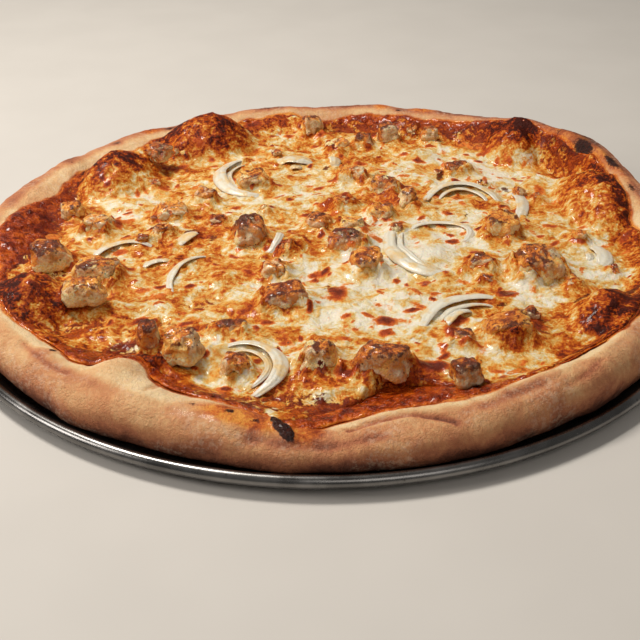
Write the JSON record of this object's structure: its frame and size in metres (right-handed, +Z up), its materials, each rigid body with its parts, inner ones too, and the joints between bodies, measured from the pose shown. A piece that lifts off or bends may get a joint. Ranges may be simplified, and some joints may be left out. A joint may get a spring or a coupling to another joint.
{
  "type": "barbecue chicken pizza on a metal pizza pan",
  "caption": "Round baked pizza with a raised puffy crust, sauce, browned cheese, diced chicken and onion, lying in the shallow rolled-rim metal pan it was baked in.",
  "frame": {"origin": "centre of the pan's flat underside", "axes": "+Z up out of the pan; -Y towards the side where the crust's rim is lowest, +X to the right of it"},
  "size_m": [0.406, 0.406, 0.0368],
  "materials": {
    "pan_metal": "satin, worn",
    "baked_dough": "baked bread crust, dry and matt",
    "barbecue_sauce": "thick wet sauce, glossy",
    "melted_cheese": "melted browned cheese, oily sheen",
    "roast_chicken": "roasted meat, slightly moist",
    "cooked_onion": "soft cooked onion, moist"
  },
  "bodies": {
    "root": {"pan": "pan_metal", "dough": "baked_dough", "sauce": "barbecue_sauce", "cheese": "melted_cheese", "chicken_01": "roast_chicken", "chicken_02": "roast_chicken", "chicken_03": "roast_chicken", "chicken_04": "roast_chicken", "chicken_05": "roast_chicken", "chicken_06": "roast_chicken", "chicken_07": "roast_chicken", "chicken_08": "roast_chicken", "chicken_09": "roast_chicken", "chicken_10": "roast_chicken", "chicken_11": "roast_chicken", "chicken_12": "roast_chicken", "chicken_13": "roast_chicken", "chicken_14": "roast_chicken", "chicken_15": "roast_chicken", "chicken_16": "roast_chicken", "chicken_17": "roast_chicken", "chicken_18": "roast_chicken", "chicken_19": "roast_chicken", "chicken_20": "roast_chicken", "chicken_21": "roast_chicken", "chicken_22": "roast_chicken", "chicken_23": "roast_chicken", "chicken_24": "roast_chicken", "chicken_25": "roast_chicken", "chicken_26": "roast_chicken", "chicken_27": "roast_chicken", "chicken_28": "roast_chicken", "chicken_29": "roast_chicken", "chicken_30": "roast_chicken", "chicken_31": "roast_chicken", "chicken_32": "roast_chicken", "chicken_33": "roast_chicken", "chicken_34": "roast_chicken", "chicken_35": "roast_chicken", "chicken_36": "roast_chicken", "chicken_37": "roast_chicken", "chicken_38": "roast_chicken", "chicken_39": "roast_chicken", "chicken_40": "roast_chicken", "onion_01": "cooked_onion", "onion_02": "cooked_onion", "onion_03": "cooked_onion", "onion_04": "cooked_onion", "onion_05": "cooked_onion", "onion_06": "cooked_onion", "onion_07": "cooked_onion", "onion_08": "cooked_onion", "onion_09": "cooked_onion", "onion_10": "cooked_onion", "onion_11": "cooked_onion", "onion_12": "cooked_onion", "onion_13": "cooked_onion", "onion_14": "cooked_onion", "onion_15": "cooked_onion", "onion_16": "cooked_onion"}
  },
  "joints": []
}
